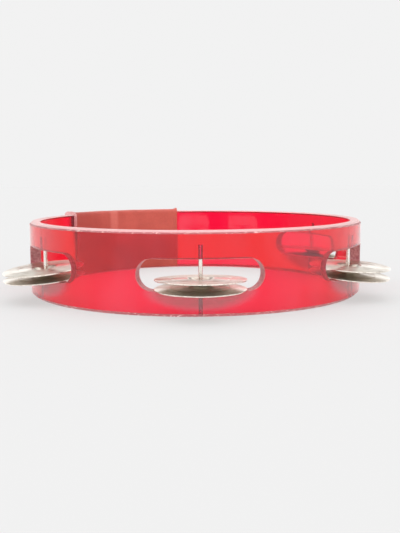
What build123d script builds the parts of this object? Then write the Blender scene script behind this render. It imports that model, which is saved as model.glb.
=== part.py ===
from build123d import *
import math
import os

# A headless tambourine (jingle ring): a ring sawn from clear red acrylic tube, with four rounded slots.
# A steel pin crosses each slot and carries two loose jingles, and a leather grip is glued over the plain arc.
# Millimetres, +Z up. The origin is on the ring's axis, in the plane of its bottom rim, and the grip is at +Y.
# A bearing is an angle round the ring, seen from above, that starts at -Y and grows towards +X.

# ---- ring: 8 in tube with a 1/4 in wall, cut 1 11/16 in wide ----
RING_RADIUS = 101.6
WALL = 6.35
RING_HEIGHT = 42.9
RIM_BEVEL_OUTSIDE = 1.6
RIM_BEVEL_INSIDE = 0.5

# ---- slots: milled by a 5/8 in cutter pointed at the axis while the ring turns ----
SLOT_BEARINGS = (-90, -30, 30, 90)
SLOT_HEIGHT = 15.9
SLOT_CENTRE_Z = 20.9
SLOT_END_ANGLE = 14.0  # from a slot's middle to the centre of its rounded end
SLOT_EDGE_BREAK = 0.3

# ---- pins: pushed up through the bottom rim into a blind hole above the slot ----
PIN_DIAMETER = 2.1
PIN_HOLE_DIAMETER = 2.2
PIN_RECESS = 0.4  # from the bottom rim up to the pin's foot
PIN_ANCHOR = 6.8  # how far the pin reaches into the ring above the slot
PIN_HOLE_SPARE = 0.4  # the blind hole's depth beyond the pin's tip
PIN_TIP_BEVEL = 0.3

# ---- jingles: stamped sheet discs with a cup in the middle and a fine raised ring ----
JINGLE_RADIUS = 23.2
JINGLE_SHEET = 0.6
JINGLE_HOLE_RADIUS = 2.1
CUP_TOP_RADIUS = 4.6
CUP_FOOT_RADIUS = 6.9
CUP_HEIGHT = 1.9
CUP_ROUNDING = 1.2
DISH = 0.35  # how far the flange climbs from its rim to the cup's foot
RIDGE_RADIUS = 15.0
RIDGE_HALF_WIDTH = 0.8
RIDGE_HEIGHT = 0.18
RIDGE_ROUNDING = 0.8

# ---- how the jingles lie: the lower one on the slot's ledge, and the upper one on it, cup to cup ----
LEDGE_GAP = 0.7  # from the ledge up to the middle of the lower jingle's sheet
PAIR_SPACING = 4.7
LOWER_LEANS = (5.2, 0.3, 5.6, 5.0)  # outer edge down, in degrees, one for each slot
UPPER_LEANS = (6.3, -2.0, 3.2, 5.0)
LOWER_SHIFTS = (0.3, 0.0, 0.3, 0.3)  # outwards on the pin, within the hole's play
UPPER_SHIFTS = (0.6, 0.0, 0.5, 0.5)

# ---- leather grip: folded over the top rim and down both faces ----
GRIP_BEARING = 183.4
GRIP_HALF_ANGLE = 26.5
GRIP_THICKNESS = 1.3
GRIP_GLUE = 0.1
GRIP_HEM_Z = 1.0
GRIP_FOLD_OUTSIDE = 2.4
GRIP_FOLD_INSIDE = 0.9

# ---- worked out from the above ----
BORE_RADIUS = RING_RADIUS - WALL
MID_RADIUS = RING_RADIUS - WALL / 2
SLOT_BOTTOM = SLOT_CENTRE_Z - SLOT_HEIGHT / 2
SLOT_TOP = SLOT_CENTRE_Z + SLOT_HEIGHT / 2
LOWER_JINGLE_Z = SLOT_BOTTOM + LEDGE_GAP
UPPER_JINGLE_Z = LOWER_JINGLE_Z + PAIR_SPACING
OVERCUT = 2.0  # how far cutters run past the faces they cut


def at_bearing(bearing, shape):
    """Turns a shape that was made at the ring's -Y side to its own bearing."""
    return Rot(0, 0, bearing) * shape


def upright_rod(radius, bottom, top):
    """A vertical cylinder through the middle of the ring's wall, at the -Y side."""
    rod = Cylinder(radius, top - bottom, align=(Align.CENTER, Align.CENTER, Align.MIN))
    return Pos(0, -MID_RADIUS, bottom) * rod


def slot_cutter():
    """The slot's space at the -Y side: a stretch of ring between two radial cylinders."""
    depth = WALL + 2 * OVERCUT
    window = Plane.XZ * Pos(MID_RADIUS, SLOT_CENTRE_Z) * Rectangle(depth, SLOT_HEIGHT)
    stretch = revolve(window, Axis.Z, 2 * SLOT_END_ANGLE)
    cutter = Rot(0, 0, -90 - SLOT_END_ANGLE) * stretch
    rounded_end = Pos(0, -MID_RADIUS, SLOT_CENTRE_Z) * Rot(90, 0, 0) * Cylinder(SLOT_HEIGHT / 2, depth)
    for side in (-1, 1):
        cutter += Rot(0, 0, side * SLOT_END_ANGLE) * rounded_end
    return cutter


def is_slot_edge(edge):
    """True for the outline of a slot on the ring's outer or inner face."""
    centre = edge.center()
    reach = math.hypot(centre.X, centre.Y)
    on_faces = abs(reach - RING_RADIUS) < 1.5 or abs(reach - BORE_RADIUS) < 1.5
    away_from_rims = SLOT_BOTTOM - 0.1 < centre.Z < SLOT_TOP + 0.1
    return on_faces and away_from_rims and edge.length < 2 * RING_RADIUS


def make_ring():
    outline = [
        (BORE_RADIUS + RIM_BEVEL_INSIDE, 0),
        (RING_RADIUS - RIM_BEVEL_OUTSIDE, 0),
        (RING_RADIUS, RIM_BEVEL_OUTSIDE),
        (RING_RADIUS, RING_HEIGHT - RIM_BEVEL_OUTSIDE),
        (RING_RADIUS - RIM_BEVEL_OUTSIDE, RING_HEIGHT),
        (BORE_RADIUS + RIM_BEVEL_INSIDE, RING_HEIGHT),
        (BORE_RADIUS, RING_HEIGHT - RIM_BEVEL_INSIDE),
        (BORE_RADIUS, RIM_BEVEL_INSIDE),
    ]
    ring = revolve(Plane.XZ * make_face(Polyline(*outline, close=True)), Axis.Z)
    for bearing in SLOT_BEARINGS:
        ring -= at_bearing(bearing, slot_cutter())
    ring = chamfer(ring.edges().filter_by(is_slot_edge), SLOT_EDGE_BREAK)
    hole_top = SLOT_TOP + PIN_ANCHOR + PIN_HOLE_SPARE
    for bearing in SLOT_BEARINGS:
        ring -= at_bearing(bearing, upright_rod(PIN_HOLE_DIAMETER / 2, -OVERCUT, hole_top))
    return ring


def make_pin():
    pin = upright_rod(PIN_DIAMETER / 2, PIN_RECESS, SLOT_TOP + PIN_ANCHOR)
    ends = pin.edges().filter_by(GeomType.CIRCLE)
    return chamfer(ends, PIN_TIP_BEVEL)


def make_jingle():
    """One jingle, its rim in the XY plane and its cup upwards."""

    def flange_height(radius):
        return DISH * (JINGLE_RADIUS - radius) / (JINGLE_RADIUS - CUP_FOOT_RADIUS)

    ridge_start = RIDGE_RADIUS - RIDGE_HALF_WIDTH
    ridge_end = RIDGE_RADIUS + RIDGE_HALF_WIDTH
    profile = [
        (JINGLE_HOLE_RADIUS, CUP_HEIGHT),
        (CUP_TOP_RADIUS, CUP_HEIGHT),
        (CUP_FOOT_RADIUS, flange_height(CUP_FOOT_RADIUS)),
        (ridge_start, flange_height(ridge_start)),
        (RIDGE_RADIUS, flange_height(RIDGE_RADIUS) + RIDGE_HEIGHT),
        (ridge_end, flange_height(ridge_end)),
        (JINGLE_RADIUS, 0),
    ]
    roundings = [CUP_ROUNDING, CUP_ROUNDING, RIDGE_ROUNDING, RIDGE_ROUNDING, RIDGE_ROUNDING]
    middle = FilletPolyline(*profile, radius=roundings)
    upper = Pos(0, JINGLE_SHEET / 2) * middle
    lower = Pos(0, -JINGLE_SHEET / 2) * middle
    hole_wall = Line(upper @ 0, lower @ 0)
    rim = Line(upper @ 1, lower @ 1)
    return revolve(Plane.XZ * make_face([hole_wall, upper, rim, lower]), Axis.Z)


def place_jingle(jingle, lean, shift, height):
    """Leans a jingle outwards and threads it on the pin at the -Y side."""
    return Pos(0, -MID_RADIUS - shift, height) * Rot(lean, 0, 0) * jingle


def make_grip():
    """The leather, with its fold over the top rim and an open foot above the bottom rim."""
    inner_face = BORE_RADIUS - GRIP_GLUE
    outer_face = RING_RADIUS + GRIP_GLUE
    under_fold = RING_HEIGHT + GRIP_GLUE
    over_fold = under_fold + GRIP_THICKNESS
    inside = FilletPolyline(
        (inner_face, GRIP_HEM_Z),
        (inner_face, under_fold),
        (outer_face, under_fold),
        (outer_face, GRIP_HEM_Z),
        radius=GRIP_FOLD_INSIDE,
    )
    outside = FilletPolyline(
        (inner_face - GRIP_THICKNESS, GRIP_HEM_Z),
        (inner_face - GRIP_THICKNESS, over_fold),
        (outer_face + GRIP_THICKNESS, over_fold),
        (outer_face + GRIP_THICKNESS, GRIP_HEM_Z),
        radius=GRIP_FOLD_OUTSIDE,
    )
    hems = [Line(inside @ 0, outside @ 0), Line(inside @ 1, outside @ 1)]
    section = Plane.XZ * make_face([inside, outside, *hems])
    wrap = revolve(section, Axis.Z, 2 * GRIP_HALF_ANGLE)
    return Rot(0, 0, -90 + GRIP_BEARING - GRIP_HALF_ANGLE) * wrap


os.makedirs("parts", exist_ok=True)

export_step(make_ring(), "parts/ring.step")
export_step(make_grip(), "parts/grip_wrap.step")

cup_up = make_jingle()
cup_down = Rot(180, 0, 0) * cup_up
for number, bearing in enumerate(SLOT_BEARINGS, start=1):
    slot = number - 1
    lower_jingle = place_jingle(cup_up, LOWER_LEANS[slot], LOWER_SHIFTS[slot], LOWER_JINGLE_Z)
    upper_jingle = place_jingle(cup_down, UPPER_LEANS[slot], UPPER_SHIFTS[slot], UPPER_JINGLE_Z)
    export_step(at_bearing(bearing, make_pin()), f"parts/pin_{number}.step")
    export_step(at_bearing(bearing, lower_jingle), f"parts/jingle_{number}_lower.step")
    export_step(at_bearing(bearing, upper_jingle), f"parts/jingle_{number}_upper.step")
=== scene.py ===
import math

import bpy
from mathutils import Matrix, Vector, noise


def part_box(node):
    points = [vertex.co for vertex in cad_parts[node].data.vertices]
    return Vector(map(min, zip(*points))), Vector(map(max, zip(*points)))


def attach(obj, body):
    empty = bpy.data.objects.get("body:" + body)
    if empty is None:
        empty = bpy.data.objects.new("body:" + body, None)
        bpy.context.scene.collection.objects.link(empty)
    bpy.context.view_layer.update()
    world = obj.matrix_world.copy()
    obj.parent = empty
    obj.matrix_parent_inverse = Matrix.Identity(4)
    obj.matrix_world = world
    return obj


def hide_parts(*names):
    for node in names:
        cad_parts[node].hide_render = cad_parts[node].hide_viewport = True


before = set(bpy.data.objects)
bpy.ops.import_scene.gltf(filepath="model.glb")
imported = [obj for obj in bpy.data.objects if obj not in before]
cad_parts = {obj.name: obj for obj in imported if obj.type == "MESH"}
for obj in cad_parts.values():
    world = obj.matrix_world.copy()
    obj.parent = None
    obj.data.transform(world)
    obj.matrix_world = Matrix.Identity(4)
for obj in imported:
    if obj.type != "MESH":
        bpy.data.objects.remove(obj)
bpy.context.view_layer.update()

# ---- places and sizes, in metres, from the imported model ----
ring_low, ring_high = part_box("ring")
grip_low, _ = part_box("grip_wrap")
RING_RADIUS = (ring_high.x - ring_low.x) / 2
RING_HEIGHT = ring_high.z
WALL = 0.00635
BORE_RADIUS = RING_RADIUS - WALL
SLOT_BEARINGS = (-90, -30, 30, 90)  # degrees, from -Y towards +X
LOWER_LEANS = (5.2, 0.3, 5.6, 5.0)  # degrees, outer edge down
UPPER_LEANS = (6.3, -2.0, 3.2, 5.0)

# ---- jingles ----
JINGLE_RADIUS = 0.0232
JINGLE_SHEET = 0.0006
JINGLE_HOLE = 0.0021
CUP_TOP, CUP_FOOT, CUP_HEIGHT = 0.0038, 0.0072, 0.0019
RIDGE_RADIUS, RIDGE_WIDTH, RIDGE_HEIGHT = 0.015, 0.0005, 0.00018
UPPER_BOW = -0.0005  # how far the flange's middle stands above its rim, towards the cup
LOWER_BOW = 0.0008
WARP = 0.00009
SADDLE_SHARE, RIPPLE_SHARE = 0.6, 1.6  # the warp's two parts, in units of WARP
RIPPLE_SCALE = 90
RIM_WEAR = (0.0220, JINGLE_RADIUS)  # the plate is worn towards the rim
SHARP_EDGE = 50  # degrees between faces, over which an edge is drawn sharp
JINGLE_SPOKES, JINGLE_STEPS, JINGLE_RIM_STEPS = 144, 72, 8

# ---- the leather, as it is glued over the ring ----
GRIP_BEARING = 183.4
GRIP_HALF_ANGLE = 26.5
LEATHER = 0.0013
GLUE = -0.00003  # the glue wets the ring, so the leather has no air behind it
HEM_Z = grip_low.z
FOLD_RADIUS = 0.0010  # of the two top corners, on the glued side
END_SWELL = 0.0009  # the outer face stands this much higher at the two cut ends
END_REACH = 0.0016
SLACK, SLACK_PACE, SLACK_SLICE = 0.00016, (0.16, 7.0), 3.1  # height, pace round and along, noise slice
CREASE, CREASE_PACE, CREASE_SLICE = 0.00007, (0.9, 2.2), 8.7
FOLD_BEARING, FOLD_SPREAD, FOLD_RISE = 187.4, 1.5, 0.0005  # a soft upright fold, in degrees and metres
FOLD_REACH = 0.38  # as a share of the way from the inner hem to the outer one
HIGHLIGHT_EDGE, HIGHLIGHT_CORE = 2.7, 0.3  # painted highlight: the leather is coloured paler along that fold, where it would catch the light, in degrees from its middle
HIGHLIGHT_HEIGHTS = (0.024, 0.034)  # where the painted highlight fades in
HIGHLIGHT_SHARE = 0.42
HANDLED_SIDE = (-0.050, 0.040)  # the leather is rubbed paler towards +X
HANDLED_TOP = (0.010, 0.036)  # and towards its top
HANDLED_SHARE = 0.6
GRIP_COLUMNS, GRIP_ROWS = 150, 132
GRAIN, EDGE, FLESH = 0, 1, 2  # the sheet's material slots

# ---- frost, wear and painted shade on the ring ----
CUT_FACING = (0.86, 0.97)  # a face that looks in or out by less than this is a cut one
PIN_HOLE_EDGE = (0.0012, 0.0014)  # from a pin's axis
PIN_HOLE_FROST = 0.25  # share of the frost inside a pin's hole
SLOT_LOW_EDGE = (0.0122, 0.0128)  # heights where the sawn look turns into the milled one
SLOT_HIGH_EDGE = (0.0290, 0.0296)  # and back
SHADOW_PATCH_ANGLE = 18.0  # degrees to each side of the pin that the painted shadow patches reach
SHADOW_PATCH_TOP, SHADOW_PATCH_DROP = 0.0130, 0.0112  # the slot's lower edge, and how far down they reach
SHADOW_PATCH_FADE = (0.35, 1.0)  # of the square of the way out from their middle
SHADOW_PATCH_VEIL = 0.21  # share of light that the painted shadow patches scatter, as a grey haze
FROST_VEIL = 0.66  # share that a sawn or milled face scatters
BEVEL_FACING = (0.45, 0.60)  # the outer bevel looks outwards by more than this
BEVEL_SHADE = (RING_HEIGHT - 0.00095, RING_HEIGHT - 0.0007)  # the outer bevel is painted darker below this, as shade

# ---- colours: linear red, green, blue and alpha ----
WHITE = (1, 1, 1, 1)
# the second colour is painted shade: a grey that stands in for the jingles' shadow under each slot
POLISHED, PAINTED_SHADOW_GREY = (1.0, 0.66, 0.86, 1), (0.60, 0.57, 0.56, 1)
ACRYLIC_DEPTH, ACRYLIC_DENSITY = (0.987, 0.0, 0.45, 1), 870.0
SAWN, SAWN_CHIP = (0.97, 0.66, 0.65, 1), (1.0, 0.95, 0.93, 1)
# painted shade for the rim's outer bevel, flecked with pale chips
BEVEL_PAINTED_SHADE, BEVEL_CHIP = (0.46, 0.15, 0.16, 1), (1.0, 0.82, 0.78, 1)
MILLED_DARK, MILLED_PALE = (0.50, 0.14, 0.16, 1), (0.78, 0.44, 0.43, 1)
PLATE, PLATE_SMUDGED, PLATE_WORN = (0.70, 0.64, 0.56, 1), (0.59, 0.52, 0.44, 1), (0.90, 0.84, 0.76, 1)
STEEL, STEEL_SPOTTED = (0.86, 0.81, 0.76, 1), (0.74, 0.68, 0.62, 1)
LEATHER_DEEP, LEATHER_RUBBED = (0.45, 0.060, 0.043, 1), (0.69, 0.125, 0.088, 1)
# the first of these is a painted highlight, for the pale streak up the fold
LEATHER_PAINTED_HIGHLIGHT, LEATHER_PORE = (0.86, 0.24, 0.19, 1), (0.24, 0.04, 0.03, 1)
EDGE_DEEP, EDGE_PALE = (0.80, 0.38, 0.37, 1), (0.98, 0.66, 0.66, 1)
FLESH_DEEP, FLESH_PALE = (0.66, 0.30, 0.24, 1), (0.86, 0.50, 0.42, 1)

# ---- the studio ----
SEEN_WHITE = 0.887  # the backdrop as the camera sees it
TENT_WHITE = 1.06  # the light that it gives, and the floor with it
BACKDROP_WHITE = 1.38  # a little above the table
ROOM_DARK = 0.25  # the room over the backdrop's edge
CEILING_WHITE = 1.6
BACKDROP_EDGE, ROOM_EDGE, CEILING_EDGE = (0.03, 0.10), (0.36, 0.42), (0.55, 0.68)  # sines of elevations
SKY_LIGHT = 1.27  # what all of it together sheds on the floor
FLOOR_WHITE = 0.3
FLOOR_REACH = 4.0
FLOOR_RINGS, FLOOR_SPOKES = 12, 96

# ---- the camera ----
CAMERA_DISTANCE = 4.48  # ring radii
CAMERA_BEARING, CAMERA_ELEVATION, CAMERA_ROLL = -31.5, 6.18, -0.29  # degrees
CAMERA_SENSOR, CAMERA_LENS = 36.0, 48.65  # millimetres
CAMERA_SHIFT = (0.0089, -0.0268)
CAMERA_CLIP = (0.01, 50.0)


def point_at(bearing, radius, z):
    """A point in the row frame, with the bearing in degrees from -Y towards +X."""
    angle = math.radians(bearing)
    return Vector((radius * math.sin(angle), -radius * math.cos(angle), z))


def new_mesh(name, points, faces):
    mesh = bpy.data.meshes.new(name)
    mesh.from_pydata(points, [], faces)
    return mesh


def new_object(name, data):
    """An object with this mesh or camera, linked into the scene."""
    made = bpy.data.objects.new(name, data)
    bpy.context.collection.objects.link(made)
    return made


# ---- node helpers ----
class Nodes:
    """Adds shader nodes to a tree and links them as it goes."""

    def __init__(self, tree):
        self.tree = tree
        tree.nodes.clear()

    def add(self, kind, inputs=(), **settings):
        node = self.tree.nodes.new(kind)
        for name, value in settings.items():
            setattr(node, name, value)
        self.fill(node, dict(inputs))
        return node

    def fill(self, node, inputs):
        for name, value in inputs.items():
            self.put(node.inputs[name], value)

    def put(self, socket, value):
        """Links the socket where value is another node's output, and sets it where value is a constant."""
        if isinstance(value, bpy.types.NodeSocket):
            self.tree.links.new(value, socket)
        else:
            socket.default_value = value

    def math(self, operation, *values):
        return self.add("ShaderNodeMath", dict(enumerate(values)), operation=operation).outputs[0]

    def vector(self, operation, *values):
        node = self.add("ShaderNodeVectorMath", dict(enumerate(values)), operation=operation)
        scalar = operation in ("DOT_PRODUCT", "LENGTH", "DISTANCE")
        return node.outputs["Value" if scalar else "Vector"]

    def flatten(self, at):
        """The point with its height taken out."""
        return self.vector("MULTIPLY", at, (1, 1, 0))

    def part(self, at, letter):
        """One of the point's X, Y and Z."""
        return self.add("ShaderNodeSeparateXYZ", {0: at}).outputs[letter]

    def noise(self, at, scale, detail=2.0, roughness=0.5, stretch=None):
        """Noise at a point, whose coordinates are first multiplied by stretch."""
        if stretch is not None:
            at = self.vector("MULTIPLY", at, stretch)
        inputs = {"Vector": at, "Scale": scale, "Detail": detail, "Roughness": roughness}
        return self.add("ShaderNodeTexNoise", inputs).outputs["Fac"]

    def band(self, value, span, to=(0.0, 1.0)):
        """Turns smoothly from to[0] into to[1] as value goes over the span."""
        inputs = {"Value": value, "From Min": span[0], "From Max": span[1], "To Min": to[0], "To Max": to[1]}
        return self.add("ShaderNodeMapRange", inputs, interpolation_type="SMOOTHSTEP").outputs["Result"]

    def between(self, factor, a, b):
        """Number a where factor is 0, and b where it is 1."""
        return self.add("ShaderNodeMix", {0: factor, 2: a, 3: b}).outputs[0]

    def blend(self, factor, a, b):
        """Colour a where factor is 0, and b where it is 1."""
        node = self.add("ShaderNodeMix", data_type="RGBA")
        for socket, value in ((0, factor), (6, a), (7, b)):
            self.put(node.inputs[socket], value)
        return node.outputs[2]

    def bump(self, height, strength, distance, normal=None):
        inputs = {"Height": height, "Strength": strength, "Distance": distance}
        if normal is not None:
            inputs["Normal"] = normal
        return self.add("ShaderNodeBump", inputs).outputs["Normal"]


def new_material(name):
    """A material with one Principled shader. Returns the material, its nodes, the shader and the output."""
    material = bpy.data.materials.new(name)
    material.use_nodes = True
    nodes = Nodes(material.node_tree)
    shader = nodes.add("ShaderNodeBsdfPrincipled")
    output = nodes.add("ShaderNodeOutputMaterial", {"Surface": shader.outputs[0]})
    return material, nodes, shader, output


# ---- materials ----
def acrylic():
    """Clear red acrylic: polished on the round faces, and frosted where it was sawn and milled."""
    material, nodes, shader, output = new_material("clear_red_acrylic")
    where = nodes.add("ShaderNodeTexCoord")
    spot = where.outputs["Object"]
    height = nodes.part(spot, "Z")
    flat = nodes.flatten(spot)
    outwards = nodes.vector("NORMALIZE", flat)
    facing_out = nodes.vector("DOT_PRODUCT", where.outputs["Normal"], outwards)

    # frost on the cut faces, with less of it in the pins' holes
    cut = nodes.band(nodes.math("ABSOLUTE", facing_out), CUT_FACING, to=(1.0, 0.0))
    to_pin = 1.0
    for bearing in SLOT_BEARINGS:
        pin_foot = point_at(bearing, RING_RADIUS - WALL / 2, 0)
        to_pin = nodes.math("MINIMUM", to_pin, nodes.vector("DISTANCE", flat, pin_foot))
    frost = nodes.math("MULTIPLY", cut, nodes.band(to_pin, PIN_HOLE_EDGE, to=(PIN_HOLE_FROST, 1.0)))
    over_low_edge = nodes.band(height, SLOT_LOW_EDGE)
    under_high_edge = nodes.band(height, SLOT_HIGH_EDGE, to=(1.0, 0.0))
    in_slot = nodes.math("MULTIPLY", over_low_edge, under_high_edge)

    # painted shadow and light: the lower half of an oval under each slot, greyer and hazier, with streaks in
    # it, which stands in for the jingles' shadow and the slot's patch of light on the floor seen through the
    # wall
    beside = -1.0
    for bearing in SLOT_BEARINGS:
        beside = nodes.math("MAXIMUM", beside, nodes.vector("DOT_PRODUCT", outwards, point_at(bearing, 1, 0)))
    round_scale = 2 / math.radians(SHADOW_PATCH_ANGLE) ** 2
    aside = nodes.math("MULTIPLY_ADD", beside, -round_scale, round_scale)
    under = nodes.math("DIVIDE", nodes.math("SUBTRACT", height, SHADOW_PATCH_TOP), SHADOW_PATCH_DROP)
    oval = nodes.math("ADD", aside, nodes.math("MULTIPLY", under, under))
    below_slot = nodes.math("LESS_THAN", height, SHADOW_PATCH_TOP)
    shadow_streaks = nodes.noise(spot, 220, 5.0, 0.7, stretch=(1, 1, 6))
    shadow_streaks = nodes.band(shadow_streaks, (0.3, 0.6), to=(0.6, 1.0))
    painted_shadow = nodes.math("MULTIPLY", below_slot, shadow_streaks)
    painted_shadow = nodes.math("MULTIPLY", nodes.band(oval, SHADOW_PATCH_FADE, to=(1.0, 0.0)), painted_shadow)

    # colours
    tooth = nodes.noise(spot, 900, 4.0, 0.65)
    chips = nodes.band(nodes.noise(spot, 2600, 3.0, 0.7), (0.52, 0.70))
    sawn = nodes.blend(chips, SAWN, SAWN_CHIP)
    # painted shade: the rim's outer bevel is coloured darker than its top face, flecked with pale chips
    shaded = nodes.blend(nodes.band(tooth, (0.54, 0.62)), BEVEL_PAINTED_SHADE, BEVEL_CHIP)
    in_shade = nodes.band(height, BEVEL_SHADE, to=(1.0, 0.0))
    on_bevel = nodes.math("MULTIPLY", nodes.band(facing_out, BEVEL_FACING), in_shade)
    sawn = nodes.blend(on_bevel, sawn, shaded)
    milled = nodes.blend(nodes.band(tooth, (0.35, 0.65)), MILLED_DARK, MILLED_PALE)
    # the polished body turns to the painted shadow grey under the slots
    body = nodes.blend(painted_shadow, POLISHED, PAINTED_SHADOW_GREY)

    # haze and a thin film on the polished faces, and the tooth of the cut ones
    haze = nodes.band(nodes.noise(spot, 160, 4.0, 0.6), (0.35, 0.75), to=(0.03, 0.09))
    rough = nodes.between(frost, haze, nodes.band(tooth, (0.3, 0.7), to=(0.38, 0.6)))
    film = nodes.noise(spot, 30, 3.0, stretch=(1, 1, 0.3))
    film = nodes.band(film, (0.35, 0.7), to=(0.008, 0.05))
    # the painted shadow patches add a grey haze as well
    film = nodes.math("ADD", film, nodes.math("MULTIPLY", painted_shadow, SHADOW_PATCH_VEIL))
    veil = nodes.math("MAXIMUM", film, nodes.math("MULTIPLY", frost, FROST_VEIL))
    ripple = nodes.noise(spot, 42, 2.0, stretch=(1, 1, 0.35))
    gentle = nodes.bump(ripple, 0.10, 0.0006)
    nodes.fill(shader, {
        "Base Color": nodes.blend(frost, body, nodes.blend(in_slot, sawn, milled)),
        "Roughness": rough,
        "Transmission Weight": nodes.math("SUBTRACT", 1.0, veil),
        "Normal": nodes.bump(nodes.math("MULTIPLY", tooth, frost), 0.5, 0.0002, gentle),
        "IOR": 1.49,
    })
    depth = nodes.add("ShaderNodeVolumeAbsorption", {"Color": ACRYLIC_DEPTH, "Density": ACRYLIC_DENSITY})
    nodes.put(output.inputs["Volume"], depth.outputs[0])
    return material


def nickel():
    """Nickel plate on a turned and stamped disc, with its rings about the disc's own middle."""
    material, nodes, shader, _ = new_material("bright_nickel")
    spot = nodes.add("ShaderNodeTexCoord").outputs["Object"]
    radius = nodes.vector("LENGTH", nodes.flatten(spot))
    along = nodes.add("ShaderNodeCombineXYZ", {0: radius}).outputs[0]
    turning = nodes.noise(along, 4200, 2.0)
    smudge = nodes.band(nodes.noise(spot, 130, 4.0, 0.62), (0.42, 0.72))
    patches = nodes.band(nodes.noise(spot, 500, 3.0), (0.35, 0.6))
    worn = nodes.math("MULTIPLY", nodes.band(radius, RIM_WEAR), patches)
    nodes.fill(shader, {
        "Base Color": nodes.blend(worn, nodes.blend(smudge, PLATE, PLATE_SMUDGED), PLATE_WORN),
        "Metallic": 1.0,
        "Roughness": nodes.between(smudge, 0.28, 0.40),
        "Anisotropic": 0.88,
        "Anisotropic Rotation": 0.25,
        "Tangent": nodes.add("ShaderNodeTangent", direction_type="RADIAL", axis="Z").outputs[0],
        "Normal": nodes.bump(turning, 0.08, 0.00003),
    })
    return material


def drawn_steel():
    """Steel wire, with fine lines drawn along it."""
    material, nodes, shader, _ = new_material("drawn_steel")
    spot = nodes.add("ShaderNodeTexCoord").outputs["Object"]
    lines = nodes.noise(spot, 6000, 2.0, stretch=(1, 1, 0.02))
    spots = nodes.band(nodes.noise(spot, 700, 3.0), (0.45, 0.7))
    nodes.fill(shader, {
        "Base Color": nodes.blend(spots, STEEL, STEEL_SPOTTED),
        "Metallic": 1.0,
        "Roughness": nodes.between(spots, 0.22, 0.36),
        "Normal": nodes.bump(lines, 0.25, 0.00004),
    })
    return material


def leather():
    """Smooth reddish-brown leather with a fine grain, soft creases, rubbed patches and a painted highlight up
    its fold.
    """
    material, nodes, shader, _ = new_material("reddish_leather")
    spot = nodes.add("ShaderNodeTexCoord").outputs["Object"]
    height = nodes.part(spot, "Z")
    flat = nodes.flatten(spot)
    cells = nodes.add("ShaderNodeTexVoronoi", {"Vector": spot, "Scale": 1300.0, "Randomness": 1.0})
    grain = nodes.band(cells.outputs["Distance"], (0.1, 0.75))
    pores = nodes.band(nodes.noise(spot, 2400, 2.0), (0.55, 0.75))
    folds = nodes.noise(spot, 55, 3.0, 0.55, stretch=(1, 1, 5))

    # rubbed in patches, and paler where it is handled most
    to_side = nodes.band(nodes.part(spot, "X"), HANDLED_SIDE)
    handled = nodes.math("MULTIPLY", to_side, nodes.band(height, HANDLED_TOP))
    patches = nodes.band(nodes.noise(spot, 38, 4.0, 0.6), (0.38, 0.68))
    patches = nodes.math("MULTIPLY", patches, 1 - HANDLED_SHARE)
    rubbed = nodes.math("MULTIPLY_ADD", handled, HANDLED_SHARE, patches)
    tone = nodes.blend(rubbed, LEATHER_DEEP, LEATHER_RUBBED)

    # painted highlight: a pale streak up the fold, on the inner leg only, standing in for the light that the
    # fold catches
    along_fold = nodes.vector("DOT_PRODUCT", nodes.vector("NORMALIZE", flat), point_at(FOLD_BEARING, 1, 0))
    highlight_span = [math.cos(math.radians(angle)) for angle in (HIGHLIGHT_EDGE, HIGHLIGHT_CORE)]
    fold_highlight = nodes.band(along_fold, highlight_span, to=(0.0, HIGHLIGHT_SHARE))
    inside = nodes.math("LESS_THAN", nodes.vector("LENGTH", flat), BORE_RADIUS)
    fold_highlight = nodes.math("MULTIPLY", fold_highlight, inside)
    fold_highlight = nodes.math("MULTIPLY", fold_highlight, nodes.band(height, HIGHLIGHT_HEIGHTS))
    tone = nodes.blend(fold_highlight, tone, LEATHER_PAINTED_HIGHLIGHT)

    tone = nodes.blend(nodes.math("MULTIPLY", pores, 0.5), tone, LEATHER_PORE)
    relief = nodes.math("ADD", nodes.math("MULTIPLY", grain, 0.35), folds)
    nodes.fill(shader, {
        "Base Color": tone,
        "Roughness": nodes.between(rubbed, 0.56, 0.44),
        "Normal": nodes.bump(relief, 0.45, 0.0003),
        "Specular IOR Level": 0.45,
        "Sheen Weight": 0.15,
        "Sheen Roughness": 0.4,
    })
    return material


def leather_edge():
    """The leather's cut edge: pale pink and fibrous."""
    material, nodes, shader, _ = new_material("leather_cut_edge")
    spot = nodes.add("ShaderNodeTexCoord").outputs["Object"]
    fibres = nodes.noise(spot, 1500, 4.0, 0.7, stretch=(3, 3, 0.6))
    nodes.fill(shader, {
        "Base Color": nodes.blend(nodes.band(fibres, (0.35, 0.7)), EDGE_DEEP, EDGE_PALE),
        "Roughness": nodes.band(fibres, (0.3, 0.7), to=(0.7, 0.9)),
        "Normal": nodes.bump(fibres, 0.6, 0.0002),
    })
    return material


def leather_flesh():
    """The leather's rough inner side, which shows through the ring."""
    material, nodes, shader, _ = new_material("leather_flesh_side")
    spot = nodes.add("ShaderNodeTexCoord").outputs["Object"]
    nap = nodes.noise(spot, 900, 4.0, 0.7)
    nodes.fill(shader, {
        "Base Color": nodes.blend(nodes.band(nap, (0.35, 0.65)), FLESH_DEEP, FLESH_PALE),
        "Roughness": nodes.band(nap, (0.3, 0.7), to=(0.8, 0.95)),
        "Normal": nodes.bump(nap, 0.5, 0.0002),
    })
    return material


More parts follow.
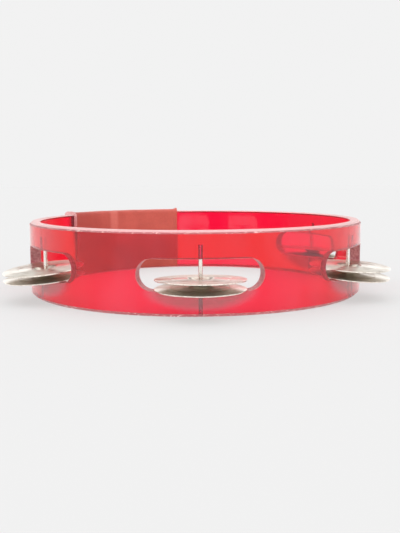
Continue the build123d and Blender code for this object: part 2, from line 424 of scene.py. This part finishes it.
# ---- the leather grip ----
def section_point(share, depth):
    """A point (radius, z) of the grip's section. share runs from the inner hem over the rim to the outer
    hem, and depth is the distance out from the glued face."""
    low_radius = BORE_RADIUS - GLUE + FOLD_RADIUS
    high_radius = RING_RADIUS + GLUE - FOLD_RADIUS
    corner_z = RING_HEIGHT + GLUE - FOLD_RADIUS
    turn = FOLD_RADIUS + LEATHER / 2  # the bends are paced along the middle of the leather
    leg = corner_z - HEM_Z
    top = high_radius - low_radius
    bend = math.pi / 2 * turn
    at = share * (2 * leg + 2 * bend + top)
    reach = FOLD_RADIUS + depth
    if at < leg:
        return low_radius - reach, HEM_Z + at
    at -= leg
    if at < bend:
        angle = at / turn
        return low_radius - reach * math.cos(angle), corner_z + reach * math.sin(angle)
    at -= bend
    if at < top:
        return low_radius + at, corner_z + reach
    at -= top
    if at < bend:
        angle = at / turn
        return high_radius + reach * math.sin(angle), corner_z + reach * math.cos(angle)
    at -= bend
    return high_radius + reach, corner_z - at


def puff(bearing, share):
    """How far the leather's outer face stands off its even thickness: slack between glued spots, creases,
    and the upright fold."""
    slack = noise.noise(Vector((bearing * SLACK_PACE[0], share * SLACK_PACE[1], SLACK_SLICE)))
    crease = noise.noise(Vector((bearing * CREASE_PACE[0], share * CREASE_PACE[1], CREASE_SLICE)))
    fold = math.exp(-((bearing - FOLD_BEARING) / FOLD_SPREAD) ** 2 - (share / FOLD_REACH) ** 4)
    return SLACK * slack + CREASE * crease + FOLD_RISE * fold


def make_grip():
    """The grip as a closed sheet: its glued face, its outer face, and the cut edges all round."""
    across, along = GRIP_COLUMNS, GRIP_ROWS
    points, faces, finish = [], [], []
    for layer in (0, 1):
        for i in range(across + 1):
            bearing = GRIP_BEARING + GRIP_HALF_ANGLE * (2 * i / across - 1)
            to_end = min(i, across - i) / across * math.radians(2 * GRIP_HALF_ANGLE) * RING_RADIUS
            thick = LEATHER + END_SWELL * math.exp(-(to_end / END_REACH) ** 2)
            for j in range(along + 1):
                share = j / along
                depth = layer * (thick + puff(bearing, share))
                radius, z = section_point(share, depth)
                points.append(point_at(bearing, radius, z))
    row, sheet = along + 1, (across + 1) * (along + 1)

    def vertex(layer, i, j):
        return layer * sheet + i * row + j

    for i in range(across):
        for j in range(along):
            quad = [(i, j), (i + 1, j), (i + 1, j + 1), (i, j + 1)]
            faces.append([vertex(1, *c) for c in quad])
            faces.append([vertex(0, *c) for c in reversed(quad)])
            finish += [GRAIN, FLESH]
    rim = [(i, 0) for i in range(across)] + [(across, j) for j in range(along)]
    rim += [(i, along) for i in range(across, 0, -1)] + [(0, j) for j in range(along, 0, -1)]
    for here, there in zip(rim, rim[1:] + rim[:1]):
        faces.append([vertex(0, *here), vertex(0, *there), vertex(1, *there), vertex(1, *here)])
        finish.append(EDGE)

    mesh = new_mesh("grip_leather", points, faces)
    for material in (leather(), leather_edge(), leather_flesh()):
        mesh.materials.append(material)
    for polygon, kind in zip(mesh.polygons, finish):
        polygon.material_index = kind
        polygon.use_smooth = kind != EDGE
    mesh.update()
    return new_object("grip_leather", mesh)


# ---- the jingles ----
def flange_height(radius, bow):
    """The middle of a jingle's sheet, above its rim's plane: a cup, a bowed flange and a fine raised ring."""
    flange = bow * (1 - (radius / JINGLE_RADIUS) ** 2)
    flange += RIDGE_HEIGHT * math.exp(-((radius - RIDGE_RADIUS) / RIDGE_WIDTH) ** 2)
    climb = (CUP_FOOT - radius) / (CUP_FOOT - CUP_TOP)
    climb = min(max(climb, 0.0), 1.0)
    climb = climb * climb * (3 - 2 * climb)
    return flange + (CUP_HEIGHT - flange) * climb


def warp(radius, turn, seed):
    """How far a disc is out of true at a point: a saddle and a few ripples, which grow towards its rim."""
    saddle = math.cos(2 * turn + seed)
    x = math.cos(turn) * radius * RIPPLE_SCALE
    y = math.sin(turn) * radius * RIPPLE_SCALE
    ripple = noise.noise(Vector((x, y, seed * 5.3)))
    return (radius / JINGLE_RADIUS) ** 2 * WARP * (SADDLE_SHARE * saddle + RIPPLE_SHARE * ripple)


def make_jingle(name, metal, bow, seed):
    """A jingle about its own middle, its cup upwards, slightly out of true as a stamped disc is."""
    half = JINGLE_SHEET / 2
    reach = JINGLE_RADIUS - half - JINGLE_HOLE
    radii = [JINGLE_HOLE + reach * k / JINGLE_STEPS for k in range(JINGLE_STEPS + 1)]
    profile = [(r, flange_height(r, bow) + half) for r in radii]
    for k in range(1, JINGLE_RIM_STEPS):
        angle = math.pi / 2 - k * math.pi / JINGLE_RIM_STEPS
        profile.append((radii[-1] + half * math.cos(angle), half * math.sin(angle)))
    profile += [(r, flange_height(r, bow) - half) for r in reversed(radii)]
    points, faces = [], []
    for t in range(JINGLE_SPOKES):
        turn = t * math.tau / JINGLE_SPOKES
        points += [(r * math.cos(turn), r * math.sin(turn), z + warp(r, turn, seed)) for r, z in profile]
    count = len(profile)
    for t in range(JINGLE_SPOKES):
        here, there = t * count, (t + 1) % JINGLE_SPOKES * count
        for k in range(count):
            after = (k + 1) % count
            faces.append([here + k, there + k, there + after, here + after][::-1])
    mesh = new_mesh(name, points, faces)
    mesh.materials.append(metal)
    mesh.shade_smooth()
    mesh.set_sharp_from_angle(angle=math.radians(SHARP_EDGE))
    return new_object(name, mesh)


def place_jingle(piece, node, bearing, lean, cup_up):
    """Lays a jingle where its CAD node lies, leaning outwards."""
    low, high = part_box(node)
    lean = math.radians(lean)
    drop = JINGLE_RADIUS * math.sin(abs(lean)) + JINGLE_SHEET / 2 * math.cos(lean)
    height = low.z + drop if cup_up else high.z - drop
    place = Matrix.Translation(((low.x + high.x) / 2, (low.y + high.y) / 2, height))
    outwards = Matrix.Rotation(math.radians(bearing), 4, "Z")
    turn = outwards @ Matrix.Rotation(lean, 4, "X") @ outwards.inverted()
    if not cup_up:
        turn = turn @ Matrix.Rotation(math.pi, 4, "X")
    piece.matrix_world = place @ turn


# ---- the studio ----
def make_floor():
    """A plain pale round floor, lit from below as well as above, like a light table."""
    points = [(0, 0, 0)]
    faces = []
    for r in range(1, FLOOR_RINGS + 1):
        radius = FLOOR_REACH * (r / FLOOR_RINGS) ** 2
        for t in range(FLOOR_SPOKES):
            turn = t * math.tau / FLOOR_SPOKES
            points.append((radius * math.cos(turn), radius * math.sin(turn), 0))
    for t in range(FLOOR_SPOKES):
        after = (t + 1) % FLOOR_SPOKES
        faces.append([0, 1 + t, 1 + after])
        for r in range(FLOOR_RINGS - 1):
            inner, outer = 1 + r * FLOOR_SPOKES, 1 + (r + 1) * FLOOR_SPOKES
            faces.append([inner + t, outer + t, outer + after, inner + after])
    mesh = new_mesh("floor", points, faces)
    floor = new_object("floor", mesh)

    material = bpy.data.materials.new("pale_floor")
    material.use_nodes = True
    nodes = Nodes(material.node_tree)
    paper = nodes.add("ShaderNodeBsdfDiffuse", {"Color": (FLOOR_WHITE, FLOOR_WHITE, FLOOR_WHITE, 1)})
    seen = nodes.add("ShaderNodeLightPath").outputs["Is Camera Ray"]
    unseen_glow = TENT_WHITE - FLOOR_WHITE * SKY_LIGHT
    strength = nodes.math("MULTIPLY_ADD", seen, SEEN_WHITE - TENT_WHITE, unseen_glow)
    glow = nodes.add("ShaderNodeEmission", {"Color": WHITE, "Strength": strength})
    both = nodes.add("ShaderNodeAddShader", {0: paper.outputs[0], 1: glow.outputs[0]})
    nodes.add("ShaderNodeOutputMaterial", {"Surface": both.outputs[0]})
    mesh.materials.append(material)


def make_tent():
    """The world's light: a white sweep low down all round, the dim room above it, and a bright ceiling."""
    world = bpy.data.worlds.new("tent")
    bpy.context.scene.world = world
    world.use_nodes = True
    nodes = Nodes(world.node_tree)
    seen = nodes.add("ShaderNodeLightPath").outputs["Is Camera Ray"]
    height = nodes.part(nodes.add("ShaderNodeTexCoord").outputs["Generated"], "Z")
    backdrop = nodes.band(height, BACKDROP_EDGE, to=(TENT_WHITE, BACKDROP_WHITE))
    room = nodes.band(height, ROOM_EDGE, to=(0.0, ROOM_DARK - BACKDROP_WHITE))
    ceiling = nodes.band(height, CEILING_EDGE, to=(0.0, CEILING_WHITE - ROOM_DARK))
    shed = nodes.math("ADD", nodes.math("ADD", backdrop, room), ceiling)
    strength = nodes.between(seen, shed, SEEN_WHITE)
    light = nodes.add("ShaderNodeBackground", {"Color": WHITE, "Strength": strength})
    nodes.add("ShaderNodeOutputWorld", {"Surface": light.outputs[0]})


def make_camera():
    """Just above the rim, looking across the ring over its front left slot."""
    distance = CAMERA_DISTANCE * RING_RADIUS
    elevation = math.radians(CAMERA_ELEVATION)
    middle = Vector((0, 0, RING_HEIGHT / 2))
    height = middle.z + distance * math.sin(elevation)
    place = point_at(CAMERA_BEARING, distance * math.cos(elevation), height)
    data = bpy.data.cameras.new("camera")
    data.sensor_width = CAMERA_SENSOR
    data.lens = CAMERA_LENS
    data.shift_x, data.shift_y = CAMERA_SHIFT
    data.clip_start, data.clip_end = CAMERA_CLIP
    camera = new_object("camera", data)
    camera.location = place
    roll = Matrix.Rotation(math.radians(CAMERA_ROLL), 3, "Z")
    turn = (middle - place).to_track_quat("-Z", "Y").to_matrix() @ roll
    camera.rotation_euler = turn.to_euler()
    bpy.context.scene.camera = camera


def set_cycles():
    """How light is traced and shown."""
    scene = bpy.context.scene
    scene.view_settings.view_transform = "Standard"
    scene.cycles.max_bounces = 32
    scene.cycles.transmission_bounces = 24
    scene.cycles.glossy_bounces = 16
    scene.cycles.diffuse_bounces = 6
    scene.cycles.sample_clamp_indirect = 6.0


# ---- put it together ----
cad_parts["ring"].material_slots[0].material = acrylic()
steel = drawn_steel()
metal = nickel()
for number, bearing in enumerate(SLOT_BEARINGS, start=1):
    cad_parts[f"pin_{number}"].material_slots[0].material = steel
    lower = ("lower", LOWER_LEANS[number - 1], LOWER_BOW)
    upper = ("upper", UPPER_LEANS[number - 1], UPPER_BOW)
    for which, lean, bow in (lower, upper):
        node = f"jingle_{number}_{which}"
        piece = make_jingle(f"{node}_disc", metal, bow, seed=number + 0.5 * (which == "upper"))
        place_jingle(piece, node, bearing, lean, which == "lower")
        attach(piece, node)
        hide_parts(node)

grip = make_grip()
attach(grip, "ring")
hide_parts("grip_wrap")

make_floor()
make_tent()
make_camera()
set_cycles()
